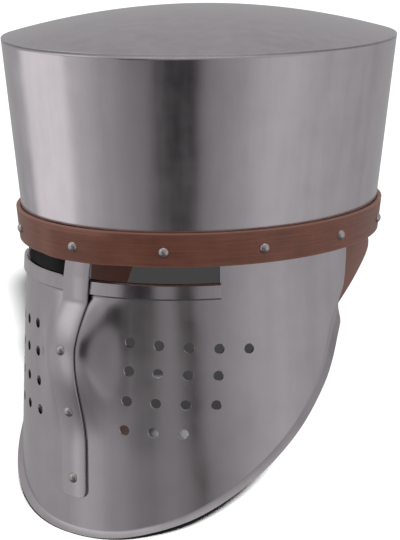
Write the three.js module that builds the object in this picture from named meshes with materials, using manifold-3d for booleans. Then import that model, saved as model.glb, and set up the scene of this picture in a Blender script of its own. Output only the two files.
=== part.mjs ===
// A flat-topped steel helmet of the early crusades: a flared oval crown, a face plate with two sight
// slits and breathing holes, a nasal bar, a riveted leather band and a leather chin strap.
// Sizes are in millimetres. The front faces -Y, +X is towards the wearer's left, and +Z is up.
// Heights are measured from the lower edge of the leather band. At the end the helmet is lowered so
// that the origin lies on the underside of its roof, where the crown of the head carries it.
import * as THREE from 'three';
import { mergeVertices } from 'three/addons/utils/BufferGeometryUtils.js';
import Module from 'manifold-3d';

const wasm = await Module();
wasm.setup();

// Driving dimensions
const SHEET = 1.5;
const FIT = 0.3;
const ROUND_STEPS = 60;
const WELD = 1e-4;

const CROWN = {
  height: 119.4, lip: 1.5, rise: 16.7, frontLow: 116, sideLow: 100, frontHigh: 127.3, sideHigh: 113,
};
const ROOF_SHARES = [0, 0.35, 0.7, 1];
const BAND = { height: 19.6, thickness: 2.8, rivetHeight: 8.8, rivets: 12 };
const BAND_LIFT = { angle: 2.5, halfWidth: 7.5, fade: 10 };
const PLATE = {
  margin: 15, frontFlare: 3.5, flareReach: 45, sideFlare: 0.065, backAngle: 98, columns: 36, rows: 16,
};
const NOSE = { start: 21, peak: 54, end: 112, height: 10, flatHalf: 7, reach: 29 };
const FLANGE = { out: 3.2, down: 3.4, least: 0.05, steps: 2, fadeLength: 13 };
const SIGHT = { depth: 10.5, endX: 74.1, tongueHalf: 6, startAngle: 8 };
const SIGHT_CUT = { over: 4, middleY: -95, length: 90 };
const STRIP = { lowHeight: -19.7, endAngle: 49.2, thickness: 1.5, columns: 28 };
const BAR = { half: 9, thickness: 1.6, bottom: -141.5, lean: 4.5, leanEnd: -50, corner: 3.5 };
const BAR_STEPS = { joggle: [16, 8, 0, -10, -20], nose: -24, noseEnd: -60, fine: 4.5, coarse: 9 };
const STRAP = { thickness: 2.2, steps: 20, across: 4, rootStart: 80, rootEnd: 130 };
const RIVET = { head: 3.1, headHeight: 2, shank: 1.5, tail: 2.6, tailHeight: 0.9, sides: 10 };
const RIVET_SHOULDER = { radius: 0.72 * RIVET.head, height: 0.75 * RIVET.headHeight };
const RIVET_HOLE = { radius: RIVET.shank + FIT, length: 30, sides: 8 };
const BREATH_HOLE = { radius: 3, length: 14, sides: 8, pitch: 9.15 };

// Lower edge of the face plate on one side: the angle round the helmet, and the height there.
const PLATE_EDGE = [
  { angle: 0, height: -160 },
  { angle: 12, height: -158.8 },
  { angle: 24, height: -153.8 },
  { angle: 40, height: -142.2 },
  { angle: 56.5, height: -122.3 },
  { angle: 70.3, height: -99.8 },
  { angle: 80, height: -77.6 },
  { angle: 84.3, height: -64 },
  { angle: 87.6, height: -48.5 },
  { angle: 90.3, height: -37 },
  { angle: 92.6, height: -30.5 },
];

// Back edge of the face plate on one side, from the band down to where the lower edge begins.
const PLATE_BACK = [
  { angle: 98, height: 0 },
  { angle: 96.9, height: -12 },
  { angle: 95.3, height: -23 },
  { angle: 92.6, height: -30.5 },
];

// Rows of breathing holes on one side: how many, the first one's angle, its depth, and how much
// further down each next one sits.
const BREATH_ROWS = [
  { count: 5, angle: 20.8, depth: 44.6, drop: 1.2 },
  { count: 4, angle: 20.3, depth: 61.4, drop: 0.8 },
  { count: 4, angle: 19.4, depth: 79.1, drop: 0.6 },
  { count: 3, angle: 18.4, depth: 96.5, drop: 0.4 },
];

// Rivets of the nasal bar, by height.
const BAR_RIVET_HEIGHTS = [-51.2, -88.8, -129.9];

// Chin strap on one side, from the riveted root to the middle under the chin: the two edges of the
// leather at each section, and how far the leather bows outward between them.
const STRAP_SECTIONS = [
  { front: [95.3, -19.6, 14], back: [75.5, 70.4, 14], bow: 8.7 },
  { front: [93.8, -19.3, -1], back: [74.9, 70.2, -2], bow: 8.6 },
  { front: [92.4, -18.5, -13], back: [75.8, 69.2, -14], bow: 7.5 },
  { front: [90, -17.5, -26], back: [82.3, 48, -25], bow: 4 },
  { front: [86.5, -17, -41], back: [81.5, 29.5, -41], bow: 2 },
  { front: [78, -19, -64], back: [74, 9, -66], bow: 1 },
  { front: [60, -36, -99], back: [55, -14, -104], bow: 0.5 },
  { front: [32, -56, -120], back: [29, -35, -126], bow: 0 },
  { front: [0, -63, -125], back: [0, -42, -131], bow: 0 },
];

const DEGREE = Math.PI / 180;

function material(colour, roughness, metalness) {
  return new THREE.MeshStandardMaterial({ color: colour, roughness, metalness });
}

function clamp01(value) {
  return Math.min(Math.max(value, 0), 1);
}

function oval(front, side, degrees, height) {
  const angle = degrees * DEGREE;
  return new THREE.Vector3(side * Math.sin(angle), -front * Math.cos(angle), height);
}

// The crown's outside at a height, moved outward by a distance.
function crownPoint(degrees, height, outward) {
  const front = CROWN.frontLow + (CROWN.frontHigh - CROWN.frontLow) * height / CROWN.height;
  const side = CROWN.sideLow + (CROWN.sideHigh - CROWN.sideLow) * height / CROWN.height;
  return oval(front + outward, side + outward, degrees, height);
}

function roofPoint(degrees, share, lowered) {
  const front = (CROWN.frontHigh - lowered) * share;
  const side = (CROWN.sideHigh - lowered) * share;
  const height = CROWN.height - lowered + CROWN.rise * (1 - share * share);
  return oval(front, side, degrees, height);
}

// How far the plate is pushed out over the nose, which starts under the sight strip.
function noseRise(x, height) {
  const down = -height;
  if (down < NOSE.start || down > NOSE.end) {
    return 0;
  }
  const rising = Math.sin((down - NOSE.start) / (NOSE.peak - NOSE.start) * Math.PI / 2);
  const falling = 0.5 + 0.5 * Math.cos((down - NOSE.peak) / (NOSE.end - NOSE.peak) * Math.PI);
  const along = down < NOSE.peak ? rising : falling;
  const across = Math.cos(clamp01((Math.abs(x) - NOSE.flatHalf) / NOSE.reach) * Math.PI / 2) ** 2;
  return NOSE.height * along * across;
}

// The face plate's outside. Its top margin is tucked inside the crown.
function plateSkin(degrees, height) {
  const tuck = SHEET + FIT;
  if (height >= 0) {
    return crownPoint(degrees, height, -tuck);
  }
  const front = CROWN.frontLow - tuck + PLATE.frontFlare * (1 - Math.exp(height / PLATE.flareReach));
  const side = CROWN.sideLow - tuck - PLATE.sideFlare * height;
  const point = oval(front, side, degrees, height);
  point.y -= point.y < 0 ? noseRise(point.x, height) : 0;
  return point;
}

function normalOf(surface, degrees, height) {
  const around = surface(degrees + 0.5, height).sub(surface(degrees - 0.5, height));
  const upward = surface(degrees, height + 0.5).sub(surface(degrees, height - 0.5));
  return around.cross(upward).normalize();
}

function plateNormal(degrees, height) {
  return normalOf(plateSkin, degrees, height);
}

function crownNormal(degrees, height) {
  return normalOf((turn, level) => crownPoint(turn, level, 0), degrees, height);
}

function platePoint(degrees, height, outward) {
  return plateSkin(degrees, height).addScaledVector(plateNormal(degrees, height), outward);
}

// Skins a row of closed outlines, each a list of points, into the faces of one closed body.
// An open row is closed at both ends by strips between the outline's first and second half.
function skin(outlines, round) {
  const count = outlines[0].length;
  const corners = [];
  const spans = round ? outlines.length : outlines.length - 1;
  for (let i = 0; i < spans; i += 1) {
    const here = outlines[i];
    const next = outlines[(i + 1) % outlines.length];
    for (let j = 0; j < count; j += 1) {
      const k = (j + 1) % count;
      corners.push([here[j], next[j], next[k]], [here[j], next[k], here[k]]);
    }
  }
  if (!round) {
    const first = outlines[0];
    const last = outlines[outlines.length - 1];
    for (let j = 0; j < count / 2 - 1; j += 1) {
      const k = count - 1 - j;
      corners.push([first[j], first[j + 1], first[k - 1]], [first[j], first[k - 1], first[k]]);
      corners.push([last[j + 1], last[j], last[k]], [last[j + 1], last[k], last[k - 1]]);
    }
  }
  return closedGeometry(corners);
}

// Drops the empty triangles at poles and turns the body so that its faces point out.
function closedGeometry(triangles) {
  const real = triangles.filter(([a, b, c]) => new THREE.Triangle(a, b, c).getArea() > WELD ** 2);
  const volume = real.reduce((sum, [a, b, c]) => sum + a.dot(b.clone().cross(c)), 0);
  const positions = [];
  for (const [a, b, c] of real) {
    const ordered = volume > 0 ? [a, b, c] : [a, c, b];
    ordered.forEach((point) => positions.push(point.x, point.y, point.z));
  }
  const geometry = new THREE.BufferGeometry();
  geometry.setAttribute('position', new THREE.Float32BufferAttribute(positions, 3));
  return mergeVertices(geometry, WELD);
}

function toSolid(geometry) {
  const merged = geometry.clone();
  merged.deleteAttribute('normal');
  merged.deleteAttribute('uv');
  const welded = mergeVertices(merged, WELD);
  return new wasm.Manifold(new wasm.Mesh({
    numProp: 3,
    vertProperties: new Float32Array(welded.attributes.position.array),
    triVerts: new Uint32Array(welded.index.array),
  }));
}

function toGeometry(solid) {
  const mesh = solid.getMesh();
  const geometry = new THREE.BufferGeometry();
  geometry.setAttribute('position', new THREE.BufferAttribute(mesh.vertProperties, 3));
  geometry.setIndex(new THREE.BufferAttribute(mesh.triVerts, 1));
  geometry.computeVertexNormals();
  return geometry;
}

function drill(geometry, cutters) {
  let solid = toSolid(geometry);
  for (const cutter of cutters) {
    solid = solid.subtract(toSolid(cutter));
  }
  return toGeometry(solid);
}

// A round cutter for a hole, centred on a seat's point and along its axis.
function roundCutter(seat, hole) {
  const cutter = new THREE.CylinderGeometry(hole.radius, hole.radius, hole.length, hole.sides);
  cutter.rotateX(Math.PI / 2);
  cutter.applyQuaternion(turnTo(seat.axis));
  cutter.translate(seat.point.x, seat.point.y, seat.point.z);
  return cutter;
}

function turnTo(axis) {
  return new THREE.Quaternion().setFromUnitVectors(new THREE.Vector3(0, 0, 1), axis);
}

// Nasal bar: how far it leans to one side at a height, and where its inner face lies.
function barLean(height) {
  return BAR.lean * clamp01((height - BAR.leanEnd) / -BAR.leanEnd);
}

function barProfile(height) {
  const overStrip = -plateSkin(0, STRIP.lowHeight).y + FIT + STRIP.thickness + FIT;
  const overRim = CROWN.frontLow + 2 * FIT;
  if (height >= 0) {
    return -crownPoint(0, height, 2 * FIT).y;
  }
  if (height > STRIP.lowHeight - 1) {
    return THREE.MathUtils.lerp(overRim, overStrip, clamp01(-height / (SIGHT.depth - 1)));
  }
  return Math.max(-platePoint(0, height, 1.2 * FIT).y, overStrip);
}

function barPoint(x, height, raised) {
  const step = 0.5;
  const slope = (barProfile(height - step) - barProfile(height + step)) / (2 * step);
  const length = Math.hypot(1, slope);
  const sag = CROWN.frontLow * (1 - Math.sqrt(1 - (x / CROWN.sideLow) ** 2));
  return new THREE.Vector3(
    x,
    -(barProfile(height) + raised / length) + sag,
    height + raised * slope / length,
  );
}

// Seats of the rivets: a point on the outermost surface and the direction that the head faces.
function bandRivetSeats() {
  const front = CROWN.frontLow + FIT + BAND.thickness;
  const side = CROWN.sideLow + FIT + BAND.thickness;
  const rim = new THREE.EllipseCurve(0, 0, side, front, -Math.PI / 2, Math.PI * 1.5);
  rim.arcLengthDivisions = 720;
  const seats = [];
  for (let index = 0; index < BAND.rivets; index += 1) {
    const spot = rim.getPointAt(index / BAND.rivets);
    const evenAngle = Math.atan2(spot.x / side, -spot.y / front) / DEGREE;
    const barAngle = Math.asin(BAR.lean / side) / DEGREE;
    const degrees = index === 0 ? barAngle : evenAngle;
    const lift = bandLift(degrees);
    const point = crownPoint(degrees, BAND.rivetHeight, FIT + BAND.thickness + lift);
    const axis = crownNormal(degrees, BAND.rivetHeight);
    seats.push({ point, axis, degrees, reach: bandRivetReach(degrees) + lift });
  }
  return seats;
}

// How deep a band rivet reaches: through the band and crown, then the plate or strap behind them.
function bandRivetReach(degrees) {
  const turn = Math.abs(degrees);
  const throughCrown = BAND.thickness + FIT + SHEET + FIT;
  const inSlit = turn > SIGHT.startAngle && turn < STRIP.endAngle;
  const throughPlate = turn < PLATE.backAngle && !inSlit ? FIT + SHEET : 0;
  const throughStrap = FIT + SHEET + 3 * FIT + STRAP.thickness;
  const inStrap = turn > STRAP.rootStart && turn < STRAP.rootEnd;
  return throughCrown + (inStrap ? throughStrap : throughPlate);
}

function barRivetSeats() {
  return BAR_RIVET_HEIGHTS.map((height) => {
    const x = barLean(height);
    const point = barPoint(x, height, BAR.thickness);
    const axis = point.clone().sub(barPoint(x, height, 0)).normalize();
    return { point, axis, reach: BAR.thickness + FIT + SHEET + 2 * FIT };
  });
}

// Crown: a flared oval wall and a gently domed roof, hollow and open below.
function crownGeometry(seats) {
  const outlines = [];
  for (let i = 0; i < ROUND_STEPS; i += 1) {
    const degrees = i * 360 / ROUND_STEPS;
    const above = ROOF_SHARES.map((share) => roofPoint(degrees, share, 0));
    const below = ROOF_SHARES.map((share) => roofPoint(degrees, share, SHEET)).reverse();
    const lip = [crownPoint(degrees, CROWN.lip, 0), crownPoint(degrees, CROWN.lip, -SHEET)];
    outlines.push([...above, ...lip, ...below]);
  }
  return drill(skin(outlines, true), seats.map((seat) => roundCutter(seat, RIVET_HOLE)));
}

// The band stands further out where the nasal bar runs up behind it.
function bandLift(degrees) {
  const away = Math.abs(degrees - BAND_LIFT.angle) - BAND_LIFT.halfWidth;
  return (BAR.thickness + 2 * FIT) * (1 - THREE.MathUtils.smoothstep(away, 0, BAND_LIFT.fade));
}

function bandGeometry(seats) {
  const outlines = [];
  for (let i = 0; i < ROUND_STEPS; i += 1) {
    const turned = i * 360 / ROUND_STEPS;
    const degrees = turned > 180 ? turned - 360 : turned;
    const inner = FIT + bandLift(degrees);
    const outer = inner + BAND.thickness;
    outlines.push([
      crownPoint(degrees, 0, inner),
      crownPoint(degrees, 0, outer),
      crownPoint(degrees, BAND.height, outer),
      crownPoint(degrees, BAND.height, inner),
    ]);
  }
  return drill(skin(outlines, true), seats.map((seat) => roundCutter(seat, RIVET_HOLE)));
}

function mirroredCurve(rows) {
  const right = rows.map((row) => new THREE.Vector2(row.angle, row.height));
  const left = rows.slice(1).map((row) => new THREE.Vector2(-row.angle, row.height)).reverse();
  return new THREE.SplineCurve([...left, ...right]);
}

// A flat sheet is laid between the band, the two back edges and the lower edge. Each spot on it is
// an angle round the helmet and a height, and it is bent round afterwards.
function plateGrid() {
  const lower = mirroredCurve(PLATE_EDGE).getSpacedPoints(PLATE.columns);
  const backSpots = PLATE_BACK.map((row) => new THREE.Vector2(row.angle, row.height));
  const back = new THREE.SplineCurve(backSpots).getSpacedPoints(PLATE.rows);
  return lower.map((lowest, i) => {
    const side = 2 * i / PLATE.columns - 1;
    return back.map((backSpot, j) => {
      const down = j / PLATE.rows;
      const bulge = backSpot.clone().sub(back[0].clone().lerp(back[PLATE.rows], down));
      const degrees = THREE.MathUtils.lerp(PLATE.backAngle * side, lowest.x, down);
      return new THREE.Vector2(degrees + side * bulge.x, down * lowest.y + bulge.y);
    });
  });
}

// The lower edge is turned outward in a narrow flange that fades out towards the back edge.
function flangeMove(edges, index, turn) {
  const edge = edges[index];
  const before = edges[Math.max(index - 1, 0)];
  const after = edges[Math.min(index + 1, edges.length - 1)];
  const corner = edges[0].y;
  const share = THREE.MathUtils.smoothstep(corner - edge.y, 0, FLANGE.fadeLength);
  const outward = plateNormal(edge.x, edge.y);
  const along = platePoint(after.x, after.y, 0).sub(platePoint(before.x, before.y, 0));
  const downward = along.normalize().cross(outward).normalize();
  const move = outward.multiplyScalar(FLANGE.out * share * turn ** 1.5);
  return move.addScaledVector(downward, (FLANGE.down * share + FLANGE.least) * turn);
}

function plateGeometry(cutters) {
  const grid = plateGrid();
  const edges = grid.map((column) => column[PLATE.rows]);
  const outlines = grid.map((column, index) => {
    const spots = [new THREE.Vector2(column[0].x, PLATE.margin), ...column];
    const outer = spots.map((spot) => platePoint(spot.x, spot.y, 0));
    const inner = spots.map((spot) => platePoint(spot.x, spot.y, -SHEET));
    for (let step = 1; step <= FLANGE.steps; step += 1) {
      const move = flangeMove(edges, index, step / FLANGE.steps);
      outer.push(platePoint(edges[index].x, edges[index].y, 0).add(move));
      inner.push(platePoint(edges[index].x, edges[index].y, -SHEET).add(move));
    }
    return [...outer, ...inner.reverse()];
  });
  return drill(skin(outlines, false), cutters);
}

// Sight slits are notches under the band, one each side of the tongue behind the nasal bar.
function sightCutters() {
  const height = PLATE.margin + SIGHT.depth + SIGHT_CUT.over;
  const middleZ = height / 2 - SIGHT.depth;
  return [1, -1].map((side) => {
    const tongueEdge = BAR.lean + side * SIGHT.tongueHalf;
    const width = Math.abs(side * SIGHT.endX - tongueEdge);
    const cutter = new THREE.BoxGeometry(width, SIGHT_CUT.length, height);
    cutter.translate((side * SIGHT.endX + tongueEdge) / 2, SIGHT_CUT.middleY, middleZ);
    return cutter;
  });
}

function breathCutters() {
  const cutters = [];
  for (const row of BREATH_ROWS) {
    for (let index = 0; index < row.count; index += 1) {
      for (const side of [1, -1]) {
        const degrees = side * (row.angle + index * BREATH_HOLE.pitch);
        const height = -row.depth - index * row.drop;
        const seat = { point: platePoint(degrees, height, 0), axis: plateNormal(degrees, height) };
        cutters.push(roundCutter(seat, BREATH_HOLE));
      }
    }
  }
  return cutters;
}

// Sight strip: a narrow band of steel laid along the lower edge of both slits.
function stripGeometry() {
  const outlines = [];
  for (let i = 0; i <= STRIP.columns; i += 1) {
    const degrees = STRIP.endAngle * (2 * i / STRIP.columns - 1);
    const outer = FIT + STRIP.thickness;
    outlines.push([
      platePoint(degrees, -SIGHT.depth, FIT),
      platePoint(degrees, STRIP.lowHeight, FIT),
      platePoint(degrees, STRIP.lowHeight, outer),
      platePoint(degrees, -SIGHT.depth, outer),
    ]);
  }
  return skin(outlines, false);
}

// Nasal bar: from behind the band down over the strip, then out over the nose to the chin.
function barGeometry(seats) {
  const heights = [...BAR_STEPS.joggle];
  const cornerTop = BAR.bottom + BAR.corner;
  let level = BAR_STEPS.nose;
  while (level > cornerTop) {
    heights.push(level);
    level -= level > BAR_STEPS.noseEnd ? BAR_STEPS.fine : BAR_STEPS.coarse;
  }
  heights.push(cornerTop, BAR.bottom + 1, BAR.bottom);
  const outlines = heights.map((height) => {
    const cut = clamp01((cornerTop - height) / BAR.corner);
    const half = BAR.half - BAR.corner * (1 - Math.sqrt(1 - cut * cut));
    const across = [-half, -half / 2, 0, half / 2, half].map((x) => x + barLean(height));
    const outer = across.map((x) => barPoint(x, height, BAR.thickness));
    const inner = across.map((x) => barPoint(x, height, 0)).reverse();
    return [...outer, ...inner];
  });
  return drill(skin(outlines, false), seats.map((seat) => roundCutter(seat, RIVET_HOLE)));
}

// Chin strap: one piece of leather from root to root, lofted through its sections.
function strapGeometry(seats) {
  const mirrored = (corner) => [-corner[0], corner[1], corner[2]];
  const otherSide = STRAP_SECTIONS.slice(0, -1).map((row) => ({
    front: mirrored(row.front), back: mirrored(row.back), bow: row.bow,
  }));
  const rows = [...STRAP_SECTIONS, ...otherSide.reverse()];
  const curveOf = (key) => new THREE.CatmullRomCurve3(rows.map((row) => new THREE.Vector3(...row[key])));
  const front = curveOf('front');
  const back = curveOf('back');
  const bows = new THREE.SplineCurve(rows.map((row, index) => new THREE.Vector2(index, row.bow)));
  const outlines = [];
  for (let i = 0; i <= STRAP.steps; i += 1) {
    const t = i / STRAP.steps;
    const start = front.getPoint(t);
    const end = back.getPoint(t);
    const width = end.clone().sub(start);
    const path = front.getTangent(t).add(back.getTangent(t)).normalize();
    const out = path.clone().cross(width).normalize();
    const outer = [];
    const inner = [];
    for (let j = 0; j <= STRAP.across; j += 1) {
      const share = j / STRAP.across;
      const bow = bows.getPoint(t).y * 4 * share * (1 - share);
      const middle = start.clone().addScaledVector(width, share).addScaledVector(out, bow);
      outer.push(middle.clone().addScaledVector(out, STRAP.thickness / 2));
      inner.push(middle.clone().addScaledVector(out, -STRAP.thickness / 2));
    }
    outlines.push([...outer, ...inner.reverse()]);
  }
  return drill(skin(outlines, false), seats.map((seat) => roundCutter(seat, RIVET_HOLE)));
}

// Rivet: a domed head outside, a shank through the layers and a flat peened end inside.
function rivetGeometry(reach) {
  const profile = [
    [0, -reach - RIVET.tailHeight],
    [RIVET.tail, -reach - RIVET.tailHeight],
    [RIVET.tail, -reach],
    [RIVET.shank, -reach],
    [RIVET.shank, FIT],
    [RIVET.head, FIT],
    [RIVET_SHOULDER.radius, RIVET_SHOULDER.height],
    [0, RIVET.headHeight],
  ];
  const points = profile.map(([radius, height]) => new THREE.Vector2(radius, height));
  const rivet = new THREE.LatheGeometry(points, RIVET.sides);
  rivet.rotateX(Math.PI / 2);
  return toGeometry(toSolid(rivet));
}

function addPiece(group, name, geometry, finish) {
  const mesh = new THREE.Mesh(geometry, finish);
  mesh.name = name;
  group.add(mesh);
  return mesh;
}

function addRivet(group, name, seat) {
  const mesh = addPiece(group, name, rivetGeometry(seat.reach), material(0xb5b3b6, 0.35, 1));
  mesh.position.copy(seat.point);
  mesh.quaternion.copy(turnTo(seat.axis));
}

const helmet = new THREE.Group();
const bandSeats = bandRivetSeats();
const barSeats = barRivetSeats();
const rivetCutters = [...bandSeats, ...barSeats].map((seat) => roundCutter(seat, RIVET_HOLE));
const plateCutters = [...sightCutters(), ...breathCutters(), ...rivetCutters];

addPiece(helmet, 'crown', crownGeometry(bandSeats), material(0xa9a7a9, 0.3, 1));
addPiece(helmet, 'leather_band', bandGeometry(bandSeats), material(0x6b4136, 0.6, 0));
addPiece(helmet, 'face_plate', plateGeometry(plateCutters), material(0xa5a3a6, 0.3, 1));
addPiece(helmet, 'sight_strip', stripGeometry(), material(0xb0aeb1, 0.25, 1));
addPiece(helmet, 'nasal_bar', barGeometry([bandSeats[0], ...barSeats]), material(0xb0aeb1, 0.28, 1));
addPiece(helmet, 'chin_strap', strapGeometry(bandSeats), material(0x7a564a, 0.65, 0));
bandSeats.forEach((seat, index) => {
  addRivet(helmet, `band_rivet_${String(index + 1).padStart(2, '0')}`, seat);
});
barSeats.forEach((seat, index) => addRivet(helmet, `bar_rivet_${index + 1}`, seat));

helmet.position.z = -(CROWN.height + CROWN.rise - SHEET);

export default helmet;
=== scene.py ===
# %% [markdown]
# # A crusader's helmet in satin steel and leather
# The helmet is a flat-topped great helm: a flared oval crown, a face plate bent round the front, a
# steel strip under the sight slits, a nasal bar, a leather band with domed rivets, and a chin strap.
# Each sheet is made here as a smith makes it. It is cut to its pattern while it is flat, its holes
# are punched, and then it is bent round. The bend is a formula, so the pieces fit without trying.

# %% Tools and frame
import math

import bmesh
import bpy
from mathutils import Matrix, Vector


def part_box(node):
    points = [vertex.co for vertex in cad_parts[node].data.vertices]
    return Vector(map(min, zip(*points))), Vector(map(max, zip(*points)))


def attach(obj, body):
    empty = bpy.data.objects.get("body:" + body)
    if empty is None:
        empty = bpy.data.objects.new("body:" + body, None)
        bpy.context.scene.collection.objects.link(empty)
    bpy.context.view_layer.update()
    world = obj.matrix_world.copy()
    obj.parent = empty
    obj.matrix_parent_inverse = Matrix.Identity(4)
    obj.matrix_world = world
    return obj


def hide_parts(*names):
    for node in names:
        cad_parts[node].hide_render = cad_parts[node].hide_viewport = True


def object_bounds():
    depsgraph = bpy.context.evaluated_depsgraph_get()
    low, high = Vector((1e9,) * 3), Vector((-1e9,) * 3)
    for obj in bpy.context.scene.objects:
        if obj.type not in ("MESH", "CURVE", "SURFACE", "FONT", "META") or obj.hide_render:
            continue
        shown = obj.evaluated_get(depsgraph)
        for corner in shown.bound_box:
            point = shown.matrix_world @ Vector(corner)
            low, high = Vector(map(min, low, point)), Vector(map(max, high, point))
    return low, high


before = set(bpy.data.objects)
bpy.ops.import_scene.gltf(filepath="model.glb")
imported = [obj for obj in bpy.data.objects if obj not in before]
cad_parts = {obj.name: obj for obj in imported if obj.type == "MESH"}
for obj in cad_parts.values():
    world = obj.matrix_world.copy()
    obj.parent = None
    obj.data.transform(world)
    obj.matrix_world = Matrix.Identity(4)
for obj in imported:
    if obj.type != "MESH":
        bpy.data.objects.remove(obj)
cad_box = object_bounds()
scene = bpy.context.scene
print("frame:", len(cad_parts), "nodes")

# %% [markdown]
# ## Measures
# Heights run from the lower edge of the leather band, because every sheet starts there. The frame's
# origin is under the roof, so each finished piece is lowered by the band's place in the frame.
# Angles run round the helmet from the middle of the face, and grow towards the wearer's left.

# %% Measures
MM = 0.001
MICRON = MM / 1000
BAND_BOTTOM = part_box("leather_band")[0].z
SHEET = 1.5 * MM
FIT = 0.3 * MM
PITCH = 1.5 * MM

CROWN_HEIGHT = 119.4 * MM
CROWN_LIP = 1.5 * MM
ROOF_RISE = 16.7 * MM
CROWN_FRONT = (116 * MM, 127.3 * MM)
CROWN_SIDE = (100 * MM, 113 * MM)
BAND_HEIGHT = 19.6 * MM
BAND_THICKNESS = 2.8 * MM
BAND_RIVET_HEIGHT = 8.8 * MM
SLIT_DEPTH = 10.5 * MM
STRIP_LOW = -19.7 * MM
STRIP_THICKNESS = 1.5 * MM
BAR_HALF = 9 * MM
BAR_THICKNESS = 1.6 * MM
BAR_LEAN = 4.5 * MM


def clamp01(value):
    return min(max(value, 0.0), 1.0)


def smooth_step(value, low, high):
    share = clamp01((value - low) / (high - low))
    return share * share * (3 - 2 * share)


def mix(low, high, share):
    return low + (high - low) * share


# %% [markdown]
# ## The bends
# The crown is an oval that widens upward. The face plate follows the same oval under the band, then
# flares a little, and is pushed out over the nose. These formulas bend every flat pattern, and they
# also give the true direction of the surface, which keeps the steel's reflections smooth.

# %% The bends
PLATE_TUCK = SHEET + FIT
FRONT_FLARE = 3.5 * MM
FLARE_REACH = 45 * MM
SIDE_FLARE = 0.065
NOSE_START, NOSE_PEAK, NOSE_END = 21 * MM, 54 * MM, 112 * MM
NOSE_HEIGHT, NOSE_FLAT, NOSE_REACH = 10 * MM, 7 * MM, 29 * MM
NEAR = 0.3


def oval(front, side, degrees, height):
    angle = math.radians(degrees)
    return Vector((side * math.sin(angle), -front * math.cos(angle), height))


def crown_wall(degrees, height, out=0.0):
    share = height / CROWN_HEIGHT
    return oval(mix(*CROWN_FRONT, share) + out, mix(*CROWN_SIDE, share) + out, degrees, height)


def crown_roof(degrees, share):
    height = CROWN_HEIGHT + ROOF_RISE * (1 - share * share)
    return oval(CROWN_FRONT[1] * share, CROWN_SIDE[1] * share, degrees, height)


def nose_rise(x, height):
    down = -height
    if not NOSE_START < down < NOSE_END:
        return 0.0
    if down < NOSE_PEAK:
        along = math.sin((down - NOSE_START) / (NOSE_PEAK - NOSE_START) * math.pi / 2)
    else:
        along = 0.5 + 0.5 * math.cos((down - NOSE_PEAK) / (NOSE_END - NOSE_PEAK) * math.pi)
    across = math.cos(clamp01((abs(x) - NOSE_FLAT) / NOSE_REACH) * math.pi / 2) ** 2
    return NOSE_HEIGHT * along * across


def plate_size(height):
    """How far the face plate's oval reaches to the front and to the side at a height."""
    if height >= 0:
        share = height / CROWN_HEIGHT
        return mix(*CROWN_FRONT, share) - PLATE_TUCK, mix(*CROWN_SIDE, share) - PLATE_TUCK
    flare = FRONT_FLARE * (1 - math.exp(height / FLARE_REACH))
    return CROWN_FRONT[0] - PLATE_TUCK + flare, CROWN_SIDE[0] - PLATE_TUCK - SIDE_FLARE * height


def plate_skin(degrees, height):
    point = oval(*plate_size(height), degrees, height)
    if point.y < 0:
        point.y -= nose_rise(point.x, height)
    return point


def plate_normal(degrees, height):
    step = NEAR * MM
    around = plate_skin(degrees + NEAR, height) - plate_skin(degrees - NEAR, height)
    upward = plate_skin(degrees, height + step) - plate_skin(degrees, height - step)
    return around.cross(upward).normalized()


def plate_point(degrees, height, out=0.0):
    return plate_skin(degrees, height) + plate_normal(degrees, height) * out


def plate_direction(point):
    """The plate's direction at a point near it, found from the angle where the point lies."""
    front, side = plate_size(point.z)
    y = point.y + (nose_rise(point.x, point.z) if point.y < 0 else 0)
    return plate_normal(math.degrees(math.atan2(point.x / side, -y / front)), point.z)


def crown_direction(point):
    """The crown's direction at a point of its wall or its roof."""
    front, side = CROWN_FRONT[1], CROWN_SIDE[1]
    share = math.hypot(point.x / side, point.y / front)
    on_roof = point.z > CROWN_HEIGHT - SHEET + 0.5 * ROOF_RISE * (1 - share * share)
    if on_roof:
        slope = 2 * ROOF_RISE
        return Vector((slope * point.x / side ** 2, slope * point.y / front ** 2, 1)).normalized()
    level = point.z / CROWN_HEIGHT
    front, side = mix(*CROWN_FRONT, level), mix(*CROWN_SIDE, level)
    angle = math.atan2(point.x / side, -point.y / front)
    flare_side = (CROWN_SIDE[1] - CROWN_SIDE[0]) / CROWN_HEIGHT
    flare_front = (CROWN_FRONT[1] - CROWN_FRONT[0]) / CROWN_HEIGHT
    around = Vector((side * math.cos(angle), front * math.sin(angle), 0))
    upward = Vector((flare_side * math.sin(angle), -flare_front * math.cos(angle), 1))
    return around.cross(upward).normalized()


# %% [markdown]
# ## Curves through a few points
# A pattern's edge is drawn as a smith would draw it: a few marked points, and a springy strip bent
# through them. The curve here is a Catmull-Rom curve, which passes through each of its points.

# %% Curves through a few points
def curve_point(points, share):
    place = share * (len(points) - 1)
    k = min(int(place), len(points) - 2)
    u = place - k
    before, start, end = points[max(k - 1, 0)], points[k], points[k + 1]
    after = points[min(k + 2, len(points) - 1)]
    pull = (end - before) * u
    bend = (before * 2 - start * 5 + end * 4 - after) * u ** 2
    turn = (start * 3 - before - end * 3 + after) * u ** 3
    return (start * 2 + pull + bend + turn) / 2


def even_points(points, count, samples=600):
    """Points at equal steps along the curve."""
    line = [curve_point(points, i / samples) for i in range(samples + 1)]
    run = [0.0]
    for a, b in zip(line, line[1:]):
        run.append(run[-1] + (b - a).length)
    spots = []
    k = 0
    for i in range(count + 1):
        goal = run[-1] * i / count
        while k < samples - 1 and run[k + 1] < goal:
            k += 1
        spots.append(line[k].lerp(line[k + 1], (goal - run[k]) / (run[k + 1] - run[k])))
    return spots


# %% [markdown]
# ## Helpers for sheets
# A flat grid is the blank. A second skin gives it its thickness, a small bevel breaks its edges, and
# each corner is then moved by the bend. Last, the broad faces take the direction that the formula
# gives, so a fine or crooked face at a hole can't spoil the reflections.

# %% Helpers for sheets
EDGE_ANGLE = math.radians(38)
SKIN_ANGLE = math.cos(math.radians(16))


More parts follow.
